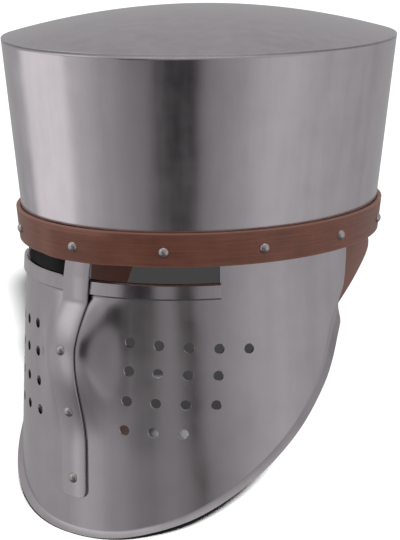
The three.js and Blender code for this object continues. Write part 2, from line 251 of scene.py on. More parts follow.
def flat_grid(width, height, centre, pitch=PITCH, thickness=0.0):
    """A flat blank in the XY plane, with its outer face up, closed if it has a thickness."""
    bm = bmesh.new()
    place = Matrix.Translation((*centre, 0)) @ Matrix.Diagonal((width / 2, height / 2, 1, 1))
    columns, rows = max(round(width / pitch), 2), max(round(height / pitch), 2)
    bmesh.ops.create_grid(bm, x_segments=columns, y_segments=rows, size=1, matrix=place)
    if thickness:
        thicken(bm, thickness)
    return bm


def thicken(bm, thickness):
    """Gives a flat blank a second skin below the first one."""
    bmesh.ops.solidify(bm, geom=bm.faces[:], thickness=thickness)
    top = max(v.co.z for v in bm.verts)
    bmesh.ops.translate(bm, verts=bm.verts, vec=(0, 0, -top))
    bmesh.ops.recalc_face_normals(bm, faces=bm.faces)


def bend(bm, move):
    for v in bm.verts:
        v.co = move(v.co)


def break_edges(bm, width, segments=2, keep=lambda edge: True):
    sharp = [e for e in bm.edges if e.is_manifold and e.calc_face_angle() > EDGE_ANGLE and keep(e)]
    bmesh.ops.bevel(
        bm, geom=sharp, offset=width, segments=segments, profile=0.5, affect="EDGES",
        material=-1, clamp_overlap=True,
    )


def make_piece(name, bm, materials, nodes):
    """Turns a bmesh into a piece that stands for CAD nodes and rides on the helmet's one body."""
    bmesh.ops.recalc_face_normals(bm, faces=bm.faces)
    bmesh.ops.translate(bm, verts=bm.verts, vec=(0, 0, BAND_BOTTOM))
    mesh = bpy.data.meshes.new(name)
    bm.to_mesh(mesh)
    bm.free()
    for material in materials:
        mesh.materials.append(material)
    mesh.shade_smooth()
    mesh.set_sharp_from_angle(angle=EDGE_ANGLE)
    piece = bpy.data.objects.new(name, mesh)
    scene.collection.objects.link(piece)
    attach(piece, "root")
    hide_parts(*nodes)
    print(name, len(mesh.polygons), "faces")
    return piece


# %% [markdown]
# A finished sheet is then dressed: its inside takes the near-black steel that paints the shade inside
# the helmet, its leather takes a map along the strip, and its broad faces take their true direction.

# %% Helpers for surfaces
def paint_inside_shade(piece, direction):
    """Gives the faces that look into the helmet the second material, the near-black steel of painted shade.
    """
    shift = Vector((0, 0, BAND_BOTTOM))
    for face in piece.data.polygons:
        if face.normal.dot(direction(face.center - shift)) < -0.3:
            face.material_index = 1


def lay_map(piece, spot, cut):
    """Lays a UV map along the leather and marks its cut edges, which take a lighter brown that is partly a
    painted highlight. Both come from each corner's place.
    """
    mesh = piece.data
    shift = Vector((0, 0, BAND_BOTTOM))
    layer = mesh.uv_layers.new(name="along")
    edges = mesh.attributes.new("cut_edge_and_highlight", "FLOAT", "POINT")
    spots = [spot(v.co - shift) for v in mesh.vertices]
    for v in mesh.vertices:
        edges.data[v.index].value = cut(v.co - shift)
    for face in mesh.polygons:
        corners = [spots[mesh.loops[k].vertex_index] for k in face.loop_indices]
        far = max(corner[0] for corner in corners)
        for k, corner in zip(face.loop_indices, corners):
            u = corner[0] if far - corner[0] < 0.3 else corner[0] + 2 * math.pi * CROWN_FRONT[0]
            layer.data[k].uv = (u, corner[1])


def true_normals(piece, direction):
    """Gives the broad faces the exact direction of the surface that they lie on."""
    mesh = piece.data
    shift = Vector((0, 0, BAND_BOTTOM))
    exact = [direction(v.co - shift) for v in mesh.vertices]
    normals = [Vector(n.vector) for n in mesh.corner_normals]
    for face in mesh.polygons:
        facing = face.normal.dot(direction(face.center - shift))
        if abs(facing) > SKIN_ANGLE:
            for corner in face.loop_indices:
                toward = exact[mesh.loops[corner].vertex_index]
                normals[corner] = toward if facing > 0 else -toward
    mesh.normals_split_custom_set(normals)


# %% [markdown]
# ## Node groups for finishes
# Steel, leather and rivets share a few effects: the fine lines that a polishing belt leaves, the soft
# waves of a hand-bent sheet, and the pores and stretch lines of leather. Each effect is a node group,
# built once. It puts out heights and masks, and each material uses them with its own values.

# %% Node helpers
def add_node(tree, kind, values=(), **settings):
    """Adds a node, sets its properties, and fills sockets by name or number."""
    node = tree.nodes.new(kind)
    for name, value in settings.items():
        setattr(node, name, value)
    for socket, value in dict(values).items():
        if isinstance(value, bpy.types.NodeSocket):
            tree.links.new(value, node.inputs[socket])
        else:
            node.inputs[socket].default_value = value
    return node


def new_group(name, inputs, outputs):
    """A shader group with named sockets. Each input is a name, a kind and a default."""
    tree = bpy.data.node_groups.new(name, "ShaderNodeTree")
    for label, kind, default in inputs:
        socket = tree.interface.new_socket(label, in_out="INPUT", socket_type="NodeSocket" + kind)
        if default is not None:
            socket.default_value = default
    for label in outputs:
        tree.interface.new_socket(label, in_out="OUTPUT", socket_type="NodeSocketFloat")
    return tree, tree.nodes.new("NodeGroupInput"), tree.nodes.new("NodeGroupOutput")


def use_group(tree, group, values=()):
    return add_node(tree, "ShaderNodeGroup", values, node_tree=group)


def math_node(tree, operation, a, b=0.0):
    return add_node(tree, "ShaderNodeMath", {0: a, 1: b}, operation=operation).outputs[0]


def ranged(tree, value, low, high, to_low=0.0, to_high=1.0):
    values = {"Value": value, "From Min": low, "From Max": high, "To Min": to_low, "To Max": to_high}
    return add_node(tree, "ShaderNodeMapRange", values, clamp=True).outputs["Result"]


# %% [markdown]
# Belt lines are noise pulled long in one direction. Sheet waves are slow noise with no direction. Both
# read the piece's own coordinates, so they stay with the steel.

# %% Belt lines and sheet waves
def belt_lines_group():
    """Fine scratches: noise that is stretched along one direction, in two sizes."""
    inputs = (("Vector", "Vector", None), ("Across", "Float", 900.0), ("Along", "Float", 14.0))
    tree, given, result = new_group("belt_lines", inputs, ("Height", "Tone"))
    scale = add_node(tree, "ShaderNodeCombineXYZ", {
        "X": given.outputs["Across"], "Y": given.outputs["Across"], "Z": given.outputs["Along"],
    })
    stretched = add_node(tree, "ShaderNodeVectorMath", {
        0: given.outputs["Vector"], 1: scale.outputs[0],
    }, operation="MULTIPLY")
    fine = add_node(tree, "ShaderNodeTexNoise", {
        "Vector": stretched.outputs[0], "Scale": 1.0, "Detail": 3.0, "Roughness": 0.6,
    })
    broad = add_node(tree, "ShaderNodeTexNoise", {
        "Vector": stretched.outputs[0], "Scale": 0.12, "Detail": 2.0, "Roughness": 0.5,
    })
    tree.links.new(fine.outputs["Fac"], result.inputs["Height"])
    tree.links.new(broad.outputs["Fac"], result.inputs["Tone"])
    return tree


def sheet_waves_group():
    """The soft unevenness of a sheet that was rolled and dressed by hand."""
    inputs = (("Vector", "Vector", None), ("Scale", "Float", 18.0))
    tree, given, result = new_group("sheet_waves", inputs, ("Height", "Cloud"))
    wave = add_node(tree, "ShaderNodeTexNoise", {
        "Vector": given.outputs["Vector"], "Scale": given.outputs["Scale"], "Detail": 1.0,
        "Roughness": 0.35,
    })
    cloud = add_node(tree, "ShaderNodeTexNoise", {
        "Vector": given.outputs["Vector"], "Scale": 55.0, "Detail": 4.0, "Roughness": 0.6,
    })
    tree.links.new(wave.outputs["Fac"], result.inputs["Height"])
    tree.links.new(cloud.outputs["Fac"], result.inputs["Cloud"])
    return tree


BELT_LINES = belt_lines_group()
SHEET_WAVES = sheet_waves_group()
print("groups:", BELT_LINES.name, SHEET_WAVES.name)

# %% [markdown]
# ## Steel
# Half-polished steel is a mirror with a soft edge. The reflection does most of the work, so the
# surface needs little colour: a warm grey, a roughness that drifts, belt lines, and slow waves that
# bend the reflections. The inside takes a near-black, rough steel: painted shade that stands in for
# the dark inside of the helmet.

# %% Steel
DULL_SHARE = 0.86


def steel_material(name, colour, roughness, drift, lines, waves, across=900.0, along=14.0):
    """Lines and waves are the depths of the belt lines and of the sheet's waves, in metres."""
    material = bpy.data.materials.new(name)
    material.use_nodes = True
    tree = material.node_tree
    shader = tree.nodes["Principled BSDF"]
    shader.inputs["Metallic"].default_value = 1
    place = add_node(tree, "ShaderNodeTexCoord").outputs["Object"]
    belt = use_group(tree, BELT_LINES, {"Vector": place, "Across": across, "Along": along})
    sheet = use_group(tree, SHEET_WAVES, {"Vector": place})
    tone = ranged(tree, belt.outputs["Tone"], 0.3, 0.7, -0.5, 0.5)
    cloud = ranged(tree, sheet.outputs["Cloud"], 0.3, 0.7, -0.5, 0.5)
    both = math_node(tree, "ADD", tone, cloud)
    rough = ranged(tree, both, -1.0, 1.0, roughness - drift, roughness + drift)
    tree.links.new(rough, shader.inputs["Roughness"])
    dull = tuple(channel * DULL_SHARE for channel in colour)
    shade = add_node(tree, "ShaderNodeMix", {
        "Factor": ranged(tree, both, -0.8, 0.8), "A": (*dull, 1), "B": (*colour, 1),
    }, data_type="RGBA")
    tree.links.new(shade.outputs["Result"], shader.inputs["Base Color"])
    wavy = add_node(tree, "ShaderNodeBump", {
        "Height": sheet.outputs["Height"], "Distance": waves, "Strength": 1.0,
    })
    lined = add_node(tree, "ShaderNodeBump", {
        "Height": belt.outputs["Height"], "Distance": lines, "Strength": 1.0,
        "Normal": wavy.outputs["Normal"],
    })
    tree.links.new(lined.outputs["Normal"], shader.inputs["Normal"])
    return material


CROWN_STEEL = steel_material(
    "crown_steel", (0.62, 0.575, 0.61), 0.21, 0.05, 6 * MICRON, 0.7 * MM,
)
PLATE_STEEL = steel_material(
    "plate_steel", (0.56, 0.52, 0.55), 0.23, 0.05, 1.5 * MICRON, 1.2 * MM, 700.0, 16.0,
)
TRIM_STEEL = steel_material(
    "trim_steel", (0.6, 0.56, 0.59), 0.17, 0.05, 3 * MICRON, 0.6 * MM,
)
RIVET_STEEL = steel_material(
    "rivet_steel", (0.58, 0.52, 0.53), 0.22, 0.07, 2 * MICRON, 0.2 * MM,
)
# Near-black inside steel: painted shade that darkens the inside of the helmet.
INNER_SHADE_STEEL = steel_material(
    "inner_shade_steel", (0.05, 0.046, 0.046), 0.55, 0.08, 6 * MICRON, 0.6 * MM,
)
print("steels:", [m.name for m in bpy.data.materials if m.name.endswith("steel")])

# %% [markdown]
# ## Leather
# The band is smooth brown leather with faint stretch lines along it, small pores and lighter edges:
# partly the raw cut, partly a painted highlight where the edges catch the light. Its pattern follows the
# strip, so it reads a UV map laid along the leather.

# %% Leather grain
def leather_grain_group():
    """Pores and stretch lines. The map's U runs along the leather and V across it, in metres."""
    inputs = (("Vector", "Vector", None), ("Pores", "Float", 1400.0), ("Stretch", "Float", 26.0))
    tree, given, result = new_group("leather_grain", inputs, ("Height", "Streak", "Cloud"))
    pores = add_node(tree, "ShaderNodeTexVoronoi", {
        "Vector": given.outputs["Vector"], "Scale": given.outputs["Pores"],
    }, feature="SMOOTH_F1")
    scale = add_node(tree, "ShaderNodeCombineXYZ", {"X": given.outputs["Stretch"], "Y": 900.0, "Z": 1.0})
    drawn = add_node(tree, "ShaderNodeVectorMath", {
        0: given.outputs["Vector"], 1: scale.outputs[0],
    }, operation="MULTIPLY")
    streak = add_node(tree, "ShaderNodeTexNoise", {
        "Vector": drawn.outputs[0], "Scale": 1.0, "Detail": 3.0, "Roughness": 0.55,
    })
    cloud = add_node(tree, "ShaderNodeTexNoise", {
        "Vector": given.outputs["Vector"], "Scale": 45.0, "Detail": 3.0, "Roughness": 0.5,
    })
    height = math_node(tree, "ADD", pores.outputs["Distance"], streak.outputs["Fac"])
    tree.links.new(height, result.inputs["Height"])
    tree.links.new(streak.outputs["Fac"], result.inputs["Streak"])
    tree.links.new(cloud.outputs["Fac"], result.inputs["Cloud"])
    return tree


LEATHER_GRAIN = leather_grain_group()
print("group:", LEATHER_GRAIN.name)

# %% [markdown]
# Each leather mixes a dark and a light brown by the grain, and takes a third, lighter brown on its cut
# edges: partly the raw cut, partly a painted highlight of the lit edges. An attribute of the piece marks
# those edges, because only the piece knows where the knife went.

# %% Leather
def leather_material(name, dark, light, edge, roughness, depth):
    material = bpy.data.materials.new(name)
    material.use_nodes = True
    tree = material.node_tree
    shader = tree.nodes["Principled BSDF"]
    place = add_node(tree, "ShaderNodeUVMap", uv_map="along").outputs["UV"]
    grain = use_group(tree, LEATHER_GRAIN, {"Vector": place})
    spread = math_node(tree, "ADD", grain.outputs["Streak"], grain.outputs["Cloud"])
    body = add_node(tree, "ShaderNodeMix", {
        "Factor": ranged(tree, spread, 0.75, 1.25), "A": (*dark, 1), "B": (*light, 1),
    }, data_type="RGBA").outputs["Result"]
    # The marked edges take a lighter brown: partly raw cut leather, partly a painted highlight.
    cut = add_node(tree, "ShaderNodeAttribute", attribute_name="cut_edge_and_highlight").outputs["Fac"]
    colour = add_node(tree, "ShaderNodeMix", {
        "Factor": cut, "A": body, "B": (*edge, 1),
    }, data_type="RGBA").outputs["Result"]
    tree.links.new(colour, shader.inputs["Base Color"])
    rough = ranged(tree, grain.outputs["Cloud"], 0.3, 0.7, roughness - 0.06, roughness + 0.06)
    tree.links.new(rough, shader.inputs["Roughness"])
    bump = add_node(tree, "ShaderNodeBump", {
        "Height": grain.outputs["Height"], "Distance": depth, "Strength": 1.0,
    })
    tree.links.new(bump.outputs["Normal"], shader.inputs["Normal"])
    return material


GRAIN_DEPTH = 60 * MICRON
# The third colour of each leather is its lighter edge: partly the raw cut, partly a painted highlight.
BAND_LEATHER = leather_material(
    "band_leather", (0.24, 0.084, 0.054), (0.36, 0.135, 0.088), (0.44, 0.2, 0.14), 0.42, GRAIN_DEPTH,
)
STRAP_LEATHER = leather_material(
    "strap_leather", (0.3, 0.12, 0.085), (0.4, 0.165, 0.12), (0.46, 0.22, 0.17), 0.5, GRAIN_DEPTH,
)
print("leathers:", BAND_LEATHER.name, STRAP_LEATHER.name)

# %% [markdown]
# ## Crown
# The real crown is a rolled sheet with a roof welded on and ground flush, so it is one shell here. Its
# profile, from the middle of the roof to the lower lip, is spun round, and the round body is pressed
# into the oval. Spin suits it because the profile is the same all the way round.

# %% Crown
ROUND_STEPS = 240
ROOF_STEPS, WALL_STEPS = 26, 40


def crown_piece():
    bm = bmesh.new()
    roof = [Vector((i / ROOF_STEPS, 0, 0)) for i in range(ROOF_STEPS + 1)]
    drop = CROWN_HEIGHT - CROWN_LIP
    wall = [Vector((1, 0, -drop * (i + 1) / WALL_STEPS)) for i in range(WALL_STEPS)]
    line = [bm.verts.new(co) for co in roof + wall]
    edges = [bm.edges.new(pair) for pair in zip(line, line[1:])]
    bmesh.ops.spin(
        bm, geom=line + edges, cent=(0, 0, 0), axis=(0, 0, 1), angle=math.tau,
        steps=ROUND_STEPS, use_merge=True, use_duplicate=False,
    )
    bmesh.ops.remove_doubles(bm, verts=bm.verts, dist=1e-6)

    def press(co):
        degrees = math.degrees(math.atan2(co.x, -co.y))
        share = math.hypot(co.x, co.y)
        if co.z < 0:
            return crown_wall(degrees, CROWN_HEIGHT + co.z)
        return crown_roof(degrees, share)

    bend(bm, press)
    bmesh.ops.recalc_face_normals(bm, faces=bm.faces)
    if sum(f.normal.z for f in bm.faces if f.calc_center_median().z > CROWN_HEIGHT) < 0:
        bmesh.ops.reverse_faces(bm, faces=bm.faces)
    bmesh.ops.solidify(bm, geom=bm.faces[:], thickness=SHEET)
    break_edges(bm, 0.4 * MM, segments=3)
    piece = make_piece("crown_shell", bm, [CROWN_STEEL, INNER_SHADE_STEEL], ["crown"])
    true_normals(piece, crown_direction)
    paint_inside_shade(piece, crown_direction)
    return piece


crown = crown_piece()

# %% [markdown]
# ## Face plate
# The plate is one sheet. Its pattern is laid between the band, two short back edges and the long
# curved lower edge. The sight notches and breathing holes are cut while it is flat, and then it is
# bent round. Last, its lower edge is turned out into a narrow flange.

# %% Face plate pattern
BACK_ANGLE = 98
PLATE_MARGIN = 15 * MM
PLATE_COLUMNS, PLATE_ROWS, MARGIN_ROWS = 236, 112, 8
LOWER_EDGE = (
    (0, -160), (12, -158.8), (24, -153.8), (40, -142.2), (56.5, -122.3), (70.3, -99.8),
    (80, -77.6), (84.3, -64), (87.6, -48.5), (90.3, -37), (92.6, -30.5),
)
BACK_EDGE = ((98, 0), (96.9, -12), (95.3, -23), (92.6, -30.5))
SLIT_END, TONGUE = 48.77, (-0.87, 6.12)
BREATH_ROWS = ((5, 20.8, 44.6, 1.2), (4, 20.3, 61.4, 0.8), (4, 19.4, 79.1, 0.6), (3, 18.4, 96.5, 0.4))
BREATH_RADIUS, BREATH_PITCH = 3 * MM, 9.15


def pattern_points():
    """The spots of the lower edge and of the left back edge, as angle and height."""
    right = [Vector((angle, height)) for angle, height in LOWER_EDGE]
    left = [Vector((-spot.x, spot.y)) for spot in reversed(right[1:])]
    lower = even_points(left + right, PLATE_COLUMNS)
    back = even_points([Vector(spot) for spot in BACK_EDGE], PLATE_ROWS)
    return lower, back


def pattern_grid():
    """Angle and height for each corner of the plate's blank, from the margin down to the edge."""
    lower, back = pattern_points()
    grid = []
    for i, lowest in enumerate(lower):
        side = 2 * i / PLATE_COLUMNS - 1
        margin = [(BACK_ANGLE * side, PLATE_MARGIN / MM * (1 - k / MARGIN_ROWS)) for k in range(MARGIN_ROWS)]
        column = [Vector(spot) for spot in margin]
        for j, spot in enumerate(back):
            down = j / PLATE_ROWS
            bulge = spot - back[0].lerp(back[-1], down)
            degrees = mix(BACK_ANGLE * side, lowest.x, down) + side * bulge.x
            column.append(Vector((degrees, down * lowest.y + bulge.y)))
        grid.append(column)
    return grid


# %% [markdown]
# In the flat, the pattern is drawn in millimetres: one degree round the helmet is 1.8 mm wide. A hole
# starts as a square of small faces that is taken out, and its edge is pushed round afterwards. The
# ring of faces around it stays tidy, which a boolean cut wouldn't give.

# %% Face plate
DEGREE_WIDTH = 1.8 * MM
HOLE_HALF = 3
FLANGE_OUT, FLANGE_DOWN, FLANGE_LEAST = 3.2 * MM, 3.4 * MM, 0.05 * MM
FLANGE_STEPS, FLANGE_FADE = 5, 13 * MM


def plate_blank():
    bm = bmesh.new()
    rows = PLATE_ROWS + MARGIN_ROWS
    bmesh.ops.create_grid(bm, x_segments=PLATE_COLUMNS, y_segments=rows, size=1)
    grid = pattern_grid()
    for v in bm.verts:
        i = round((v.co.x + 1) / 2 * PLATE_COLUMNS)
        j = round((1 - v.co.y) / 2 * rows)
        spot = grid[i][j]
        v.co = Vector((spot.x * DEGREE_WIDTH, spot.y * MM, 0))
    return bm


def breath_spots():
    for count, first, depth, drop in BREATH_ROWS:
        for k in range(count):
            for side in (1, -1):
                yield side * (first + k * BREATH_PITCH), -(depth + k * drop) * MM


# %% [markdown]
# ### Sight notches
# Each slit is an open notch in the top of the plate, beside a tongue that carries the nasal bar. The
# sheet is scored along straight lines with bisect_plane, and the waste between them is taken out.

# %% Sight notches
def cut_line(bm, faces, point, across):
    """Scores a straight line over some faces, so that they can be parted along it."""
    geom = set(faces)
    for face in faces:
        geom.update(face.edges, face.verts)
    bmesh.ops.bisect_plane(bm, geom=list(geom), dist=0.02 * MM, plane_co=point, plane_no=across)


def cut_notches(bm):
    """Both sight slits are open notches above the strip, one each side of the tongue."""
    floor = SLIT_DEPTH + 2 * PITCH
    for degrees in (-SLIT_END, TONGUE[0], TONGUE[1], SLIT_END):
        near = [f for f in bm.faces if f.calc_center_median().y > -floor]
        cut_line(bm, near, (degrees * DEGREE_WIDTH, 0, 0), (1, 0, 0))
    near = [f for f in bm.faces if abs(f.calc_center_median().y + SLIT_DEPTH) < 2 * PITCH]
    cut_line(bm, near, (0, -SLIT_DEPTH, 0), (0, 1, 0))
    waste = []
    for face in bm.faces:
        centre = face.calc_center_median()
        degrees = centre.x / DEGREE_WIDTH
        in_slit = abs(degrees) < SLIT_END and not TONGUE[0] < degrees < TONGUE[1]
        if centre.y > -SLIT_DEPTH and in_slit:
            waste.append(face)
    bmesh.ops.delete(bm, geom=waste, context="FACES")


# %% [markdown]
# ### Breathing holes
# A square of faces is taken out at each mark, and the edge of the gap is pushed round.

# %% Breathing holes
def punch_holes(bm):
    """Takes a square out for each breathing hole and pushes the edge of the gap round."""
    corners = sorted(bm.verts, key=lambda v: v.co.x)
    for degrees, height in breath_spots():
        centre = Vector((degrees * DEGREE_WIDTH, height, 0))
        middle = min(corners, key=lambda v: (v.co - centre).length_squared)
        block = {middle}
        for _ in range(HOLE_HALF):
            block |= {v for corner in list(block) for face in corner.link_faces for v in face.verts}
        inside = [f for f in {f for v in block for f in v.link_faces} if all(v in block for v in f.verts)]
        rim = [v for v in block if any(f not in inside for f in v.link_faces)]
        around = math.cos(math.radians(degrees)) ** 2 * CROWN_SIDE[0] ** 2
        around += math.sin(math.radians(degrees)) ** 2 * CROWN_FRONT[0] ** 2
        stretch = DEGREE_WIDTH / math.radians(math.sqrt(around))
        rim.sort(key=lambda v: math.atan2(v.co.y - middle.co.y, v.co.x - middle.co.x))
        start = math.atan2(rim[0].co.y - middle.co.y, rim[0].co.x - middle.co.x)
        for k, v in enumerate(rim):
            angle = start + k * math.tau / len(rim)
            v.co.x = centre.x + BREATH_RADIUS * stretch * math.cos(angle)
            v.co.y = centre.y + BREATH_RADIUS * math.sin(angle)
        corners = [v for v in corners if v not in block]
        bmesh.ops.delete(bm, geom=inside, context="FACES")


# %% [markdown]
# ### Flange and finished plate
# The lower edge is drawn out row by row and turned outward, with less turn towards the back. The
# sheet then gets its thickness and is bent round.

# %% Flange and finished plate
def flange_moves(lower):
    """For each spot of the lower edge: how far the flange stands out there, and which way."""
    spots = [(spot.x, spot.y * MM) for spot in lower]
    moves = []
    for i, (degrees, height) in enumerate(spots):
        before, after = spots[max(i - 1, 0)], spots[min(i + 1, len(spots) - 1)]
        share = smooth_step(spots[0][1] - height, 0, FLANGE_FADE)
        outward = plate_normal(degrees, height)
        along = plate_point(*after) - plate_point(*before)
        downward = along.normalized().cross(outward).normalized()
        moves.append((outward * FLANGE_OUT * share, downward * (FLANGE_DOWN * share + FLANGE_LEAST)))
    return moves


def plate_piece():
    bm = plate_blank()
    edge_layer = bm.verts.layers.int.new("edge")
    turn_layer = bm.verts.layers.float.new("turn")
    lower, _ = pattern_points()
    marks = [Vector((spot.x * DEGREE_WIDTH, spot.y * MM, 0)) for spot in lower]
    rim = {}
    for v in bm.verts:
        v[edge_layer] = -1
        if v.is_boundary:
            k = min(range(len(marks)), key=lambda n: (marks[n] - v.co).length_squared)
            if (marks[k] - v.co).length < 0.01 * MM:
                v[edge_layer] = k
                rim[v] = k
    cut_notches(bm)
    punch_holes(bm)
    row = [e for e in bm.edges if e.is_boundary and all(v in rim for v in e.verts)]
    for step in range(1, FLANGE_STEPS + 1):
        made = bmesh.ops.extrude_edge_only(bm, edges=row)["geom"]
        row = [g for g in made if isinstance(g, bmesh.types.BMEdge)]
        for v in (g for g in made if isinstance(g, bmesh.types.BMVert)):
            v[turn_layer] = step / FLANGE_STEPS
            v.co.y -= 0.1 * MM
    thicken(bm, SHEET)
    moves = flange_moves(lower)
    for v in bm.verts:
        out, k = v.co.z, v[edge_layer]
        if k >= 0:
            turn = v[turn_layer]
            outward, downward = moves[k]
            base = plate_point(lower[k].x, lower[k].y * MM, out)
            v.co = base + outward * turn ** 1.3 + downward * turn
        else:
            v.co = plate_point(v.co.x / DEGREE_WIDTH, v.co.y, out)
    break_edges(bm, 0.22 * MM)
    piece = make_piece("face_sheet", bm, [PLATE_STEEL, INNER_SHADE_STEEL], ["face_plate"])
    true_normals(piece, plate_direction)
    paint_inside_shade(piece, plate_direction)
    return piece


face = plate_piece()

# %% [markdown]
# ## Sight strip
# A narrow strip of thicker steel stiffens the lower edge of both slits. Its long edges are filed to
# broad bevels, which catch the light as fine bright lines.

# %% Sight strip
STRIP_END = 49.2
STRIP_BEVEL = 1 * MM


def strip_piece():
    width = 2 * STRIP_END * DEGREE_WIDTH
    height = -SLIT_DEPTH - STRIP_LOW
    middle = (0, (-SLIT_DEPTH + STRIP_LOW) / 2)
    bm = flat_grid(width, height, middle, thickness=STRIP_THICKNESS)
    break_edges(bm, STRIP_BEVEL, 1, lambda edge: all(v.co.z > -0.1 * MM for v in edge.verts))

    def wrap(co):
        return plate_point(co.x / DEGREE_WIDTH, co.y, FIT + STRIP_THICKNESS + co.z)

    bend(bm, wrap)
    piece = make_piece("sight_trim", bm, [TRIM_STEEL], ["sight_strip"])
    true_normals(piece, plate_direction)
    return piece


strip = strip_piece()

# %% [markdown]
# ## Nasal bar
# The bar is a flat strip of steel with a rounded lower end. It comes out from behind the band, steps
# over the sight strip and follows the nose down to the chin. Its profile is a height line that is
# eased over a few millimetres, as a hammered bend is.

# %% Nasal bar
BAR_TOP, BAR_BOTTOM = 16 * MM, -141.5 * MM
BAR_CORNER = 3.5 * MM
BAR_CROWNING = 0.16
LEAN_END = -50 * MM
EASE = 1.6 * MM


def bar_lean(height):
    return BAR_LEAN * clamp01((height - LEAN_END) / -LEAN_END)


def bar_line(height):
    over_rim = CROWN_FRONT[0] + 2 * FIT
    over_strip = -plate_skin(0, STRIP_LOW).y + FIT + STRIP_THICKNESS + FIT
    if height >= 0:
        return -crown_wall(0, height, 2 * FIT).y
    if height > STRIP_LOW - MM:
        return mix(over_rim, over_strip, clamp01(-height / (SLIT_DEPTH - MM)))
    return max(-plate_point(0, height, 1.2 * FIT).y, over_strip)


def bar_profile(height):
    return sum(bar_line(height + k * EASE) for k in (-1, -0.5, 0, 0.5, 1)) / 5


def bar_point(x, height, raised):
    step = 0.5 * MM
    slope = (bar_profile(height - step) - bar_profile(height + step)) / (2 * step)
    length = math.hypot(1, slope)
    sag = CROWN_FRONT[0] * (1 - math.sqrt(1 - (x / CROWN_SIDE[0]) ** 2))
    y = -(bar_profile(height) + raised / length) + sag
    return Vector((x, y, height + raised * slope / length))


def bar_direction(point):
    """The bar's direction at a point, turned outward a little towards its two long edges."""
    step = 0.5 * MM
    around = bar_point(point.x + step, point.z, 0) - bar_point(point.x - step, point.z, 0)
    upward = bar_point(point.x, point.z + step, 0) - bar_point(point.x, point.z - step, 0)
    across = (point.x - bar_lean(point.z)) / BAR_HALF
    return (around.cross(upward).normalized() + Vector((BAR_CROWNING * across, 0, 0))).normalized()


def bar_piece():
    middle = (BAR_TOP + BAR_BOTTOM) / 2
    bm = flat_grid(2 * BAR_HALF, BAR_TOP - BAR_BOTTOM, (0, middle), pitch=PITCH, thickness=BAR_THICKNESS)
    corner_top = BAR_BOTTOM + BAR_CORNER
    for v in bm.verts:
        if v.co.y < corner_top + PITCH:
            share = clamp01((corner_top + PITCH - v.co.y) / (BAR_CORNER + PITCH))
            v.co.y = mix(corner_top + PITCH, BAR_BOTTOM, 1 - (1 - share) ** 1.7)
            cut = clamp01((corner_top - v.co.y) / BAR_CORNER)
            v.co.x *= (BAR_HALF - BAR_CORNER * (1 - math.sqrt(1 - cut * cut))) / BAR_HALF
    break_edges(bm, 0.6 * MM, 3)

    def wrap(co):
        return bar_point(co.x + bar_lean(co.y), co.y, BAR_THICKNESS + co.z)

    bend(bm, wrap)
    piece = make_piece("nose_bar", bm, [TRIM_STEEL], ["nasal_bar"])
    true_normals(piece, bar_direction)
    return piece


bar = bar_piece()

# %% [markdown]
# ## Leather band
# A flat strip of brown leather runs round the lower edge of the crown. Its section is spun round, its
# corners are rounded as cut leather is, and then it is pressed to the oval. It stands out a little
# where the nasal bar runs up behind it, and closes on the crown again above the bar's end.

# %% Leather band
BAND_STEPS, BAND_ROWS = 480, 16
BAND_CLOSING = 0.85
LIFT_ANGLE, LIFT_HALF, LIFT_FADE = 2.5, 7.5, 10
BAND_RIVETS = 12


def band_lift(degrees):
    away = abs(degrees - LIFT_ANGLE) - LIFT_HALF
    return (BAR_THICKNESS + 2 * FIT) * (1 - smooth_step(away, 0, LIFT_FADE))


def band_rivet_angles():
    """Twelve rivets at equal steps round the band. The first one sits on the nasal bar."""
    front, side = CROWN_FRONT[0] + FIT + BAND_THICKNESS, CROWN_SIDE[0] + FIT + BAND_THICKNESS
    ring = [Vector((t, 0)) for t in range(721)]
    run = [0.0]
    for a, b in zip(ring, ring[1:]):
        run.append(run[-1] + (oval(front, side, b.x / 2, 0) - oval(front, side, a.x / 2, 0)).length)
    angles = []
    for k in range(BAND_RIVETS):
        goal = run[-1] * k / BAND_RIVETS
        i = max(n for n in range(720) if run[n] <= goal)
        degrees = (i + (goal - run[i]) / (run[i + 1] - run[i])) / 2
        angles.append(degrees - 360 if degrees > 180 else degrees)
    angles[0] = math.degrees(math.asin(BAR_LEAN / side))
    return angles


RIVET_ANGLES = band_rivet_angles()


